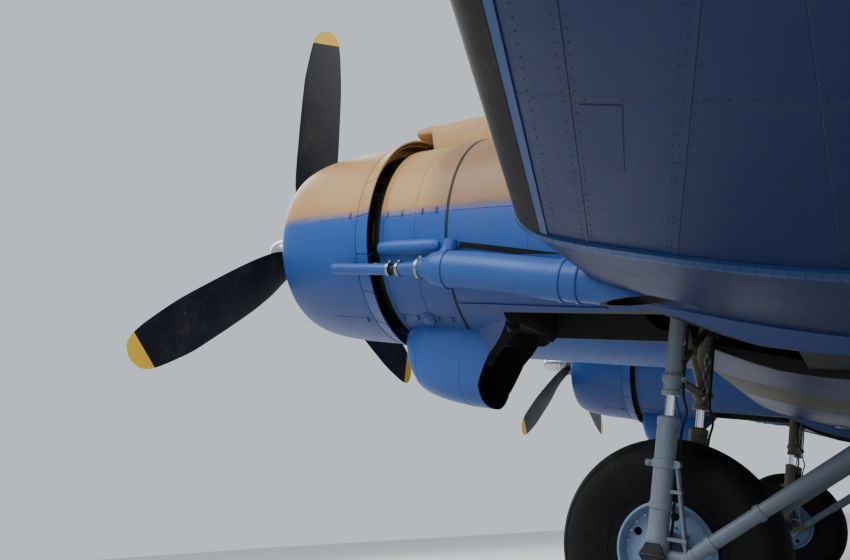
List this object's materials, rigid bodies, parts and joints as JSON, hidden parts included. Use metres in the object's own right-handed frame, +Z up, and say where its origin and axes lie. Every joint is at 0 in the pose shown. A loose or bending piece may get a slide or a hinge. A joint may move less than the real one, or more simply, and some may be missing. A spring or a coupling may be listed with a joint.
{
  "type": "military transport plane",
  "caption": "Twin-engined low-wing military transport plane that stands nose-up on its main wheels and a tail wheel, with turning propellers, wheels, hinged control surfaces and cargo doors.",
  "frame": {"origin": "on the ground under the middle of the plane's length and span, at the bottom centre of its bounding box", "axes": "+Z up, -Y towards the nose, +X towards the port wing tip; the plane stands as it parks, with its own centreline nose-up by 11.5 degrees"},
  "size_m": [29.1106, 19.1858, 4.9344],
  "materials": {
    "skin_paint": "matt camouflage paint in tan and blue, weathered, over riveted sheet",
    "underside_paint": "matt dark blue paint, dusty, over riveted sheet",
    "tan_paint": "matt tan paint",
    "doped_fabric": "taut doped fabric over ribs, painted matt",
    "blade_paint": "matt charcoal paint with yellow tips",
    "dome_metal": "satin, slightly worn",
    "engine_metal": "dull cast metal with dark fins",
    "exhaust_steel": "heat-stained steel",
    "gear_paint": "satin light blue-grey paint, chipped and dusty",
    "wheel_paint": "satin light blue-grey paint",
    "tyre_rubber": "smooth worn rubber, dusty",
    "glazing": "clear panes in painted frames"
  },
  "bodies": {
    "airframe": {"accessory_cowl_left": "skin_paint", "accessory_cowl_right": "skin_paint", "carburettor_scoop_left": "tan_paint", "carburettor_scoop_right": "tan_paint", "cockpit_canopy": "glazing", "cowl_ring_left": "skin_paint", "cowl_ring_right": "skin_paint", "cowl_skirt_left": "skin_paint", "cowl_skirt_right": "skin_paint", "drag_strut_left": "gear_paint", "drag_strut_right": "gear_paint", "engine_left": "engine_metal", "engine_right": "engine_metal", "exhaust_left": "exhaust_steel", "exhaust_right": "exhaust_steel", "fin": "skin_paint", "fuselage": "skin_paint", "lower_gear_leg_left": "gear_paint", "lower_gear_leg_right": "gear_paint", "nacelle_left": "skin_paint", "nacelle_right": "skin_paint", "nose_cap": "skin_paint", "oil_cooler_duct_left": "underside_paint", "oil_cooler_duct_right": "underside_paint", "outer_wing_left": "underside_paint", "outer_wing_right": "underside_paint", "pitot_mast_left": "dome_metal", "pitot_mast_right": "dome_metal", "sighting_dome": "glazing", "tail_cone": "skin_paint", "tail_leg": "gear_paint", "tailplane_left": "underside_paint", "tailplane_right": "underside_paint", "upper_gear_leg_left": "gear_paint", "upper_gear_leg_right": "gear_paint", "wing_centre_section": "underside_paint"},
    "propeller_left_unit": {"propeller_left": "blade_paint", "propeller_dome_left": "dome_metal"},
    "main_wheel_left": {"main_tyre_left": "tyre_rubber", "main_rim_left": "wheel_paint"},
    "propeller_right_unit": {"propeller_right": "blade_paint", "propeller_dome_right": "dome_metal"},
    "main_wheel_right": {"main_tyre_right": "tyre_rubber", "main_rim_right": "wheel_paint"},
    "tail_swivel_unit": {"tail_fork": "gear_paint"},
    "tail_wheel": {"tail_tyre": "tyre_rubber", "tail_rim": "wheel_paint"},
    "elevators": {"elevators": "doped_fabric"},
    "rudder": {"rudder": "doped_fabric"},
    "aileron_left": {"aileron_left": "doped_fabric"},
    "flap_outer_left": {"flap_outer_left": "underside_paint"},
    "aileron_right": {"aileron_right": "doped_fabric"},
    "flap_outer_right": {"flap_outer_right": "underside_paint"},
    "flap_centre": {"flap_centre": "underside_paint"},
    "cargo_door_front": {"cargo_door_front": "skin_paint"},
    "cargo_door_rear": {"cargo_door_rear": "skin_paint"}
  },
  "joints": [
    {"name": "propeller_left_spin", "type": "hinge", "parent": "airframe", "child": "propeller_left_unit", "pos_m": [2.819, -7.19597, 2.80265], "axis": [0, -0.9799, 0.1994], "continuous": true},
    {"name": "main_wheel_left_roll", "type": "hinge", "parent": "airframe", "child": "main_wheel_left", "pos_m": [2.819, -4.84421, 0.56833], "axis": [1, 0, 0], "continuous": true},
    {"name": "propeller_right_spin", "type": "hinge", "parent": "airframe", "child": "propeller_right_unit", "pos_m": [-2.819, -7.19597, 2.80265], "axis": [0, -0.9799, 0.1994], "continuous": true},
    {"name": "main_wheel_right_roll", "type": "hinge", "parent": "airframe", "child": "main_wheel_right", "pos_m": [-2.819, -4.84421, 0.56833], "axis": [1, 0, 0], "continuous": true},
    {"name": "tail_swivel", "type": "hinge", "parent": "airframe", "child": "tail_swivel_unit", "pos_m": [0, 6.30403, 0.72655], "axis": [0, 0, 1], "continuous": true},
    {"name": "tail_wheel_roll", "type": "hinge", "parent": "tail_swivel_unit", "child": "tail_wheel", "pos_m": [0, 6.43403, 0.27655], "axis": [1, 0, 0], "continuous": true},
    {"name": "elevator_hinge", "type": "hinge", "parent": "airframe", "child": "elevators", "pos_m": [0, 8.13729, 1.27502], "axis": [1, 0, 0], "range_deg": [-20, 30]},
    {"name": "rudder_hinge", "type": "hinge", "parent": "airframe", "child": "rudder", "pos_m": [0, 8.3127, 1.53528], "axis": [0, 0.1994, 0.9799], "range_deg": [-30, 30]},
    {"name": "aileron_left_hinge", "type": "hinge", "parent": "airframe", "child": "aileron_left", "pos_m": [8.97274, -1.10234, 1.47945], "axis": [0.9941, 0.0214, 0.106], "range_deg": [-18, 27]},
    {"name": "flap_outer_left_hinge", "type": "hinge", "parent": "airframe", "child": "flap_outer_left", "pos_m": [8.93394, -1.33175, 1.45749], "axis": [-0.9934, -0.0234, -0.1124], "range_deg": [0, 45]},
    {"name": "aileron_right_hinge", "type": "hinge", "parent": "airframe", "child": "aileron_right", "pos_m": [-13.78236, -0.99881, 1.99249], "axis": [0.9941, -0.0214, -0.106], "range_deg": [-18, 27]},
    {"name": "flap_outer_right_hinge", "type": "hinge", "parent": "airframe", "child": "flap_outer_right", "pos_m": [-4.46365, -1.43704, 0.95174], "axis": [-0.9934, 0.0234, 0.1124], "range_deg": [0, 45]},
    {"name": "flap_centre_hinge", "type": "hinge", "parent": "airframe", "child": "flap_centre", "pos_m": [4.35, -1.4385, 0.94477], "axis": [-1, 0, 0], "range_deg": [0, 45]},
    {"name": "cargo_door_front_hinge", "type": "hinge", "parent": "airframe", "child": "cargo_door_front", "pos_m": [1.2255, 0.82286, 2.08964], "axis": [0, -0.1994, -0.9799], "range_deg": [0, 150]},
    {"name": "cargo_door_rear_hinge", "type": "hinge", "parent": "airframe", "child": "cargo_door_rear", "pos_m": [1.083, 2.97869, 1.65103], "axis": [0, 0.1994, 0.9799], "range_deg": [0, 150]}
  ]
}
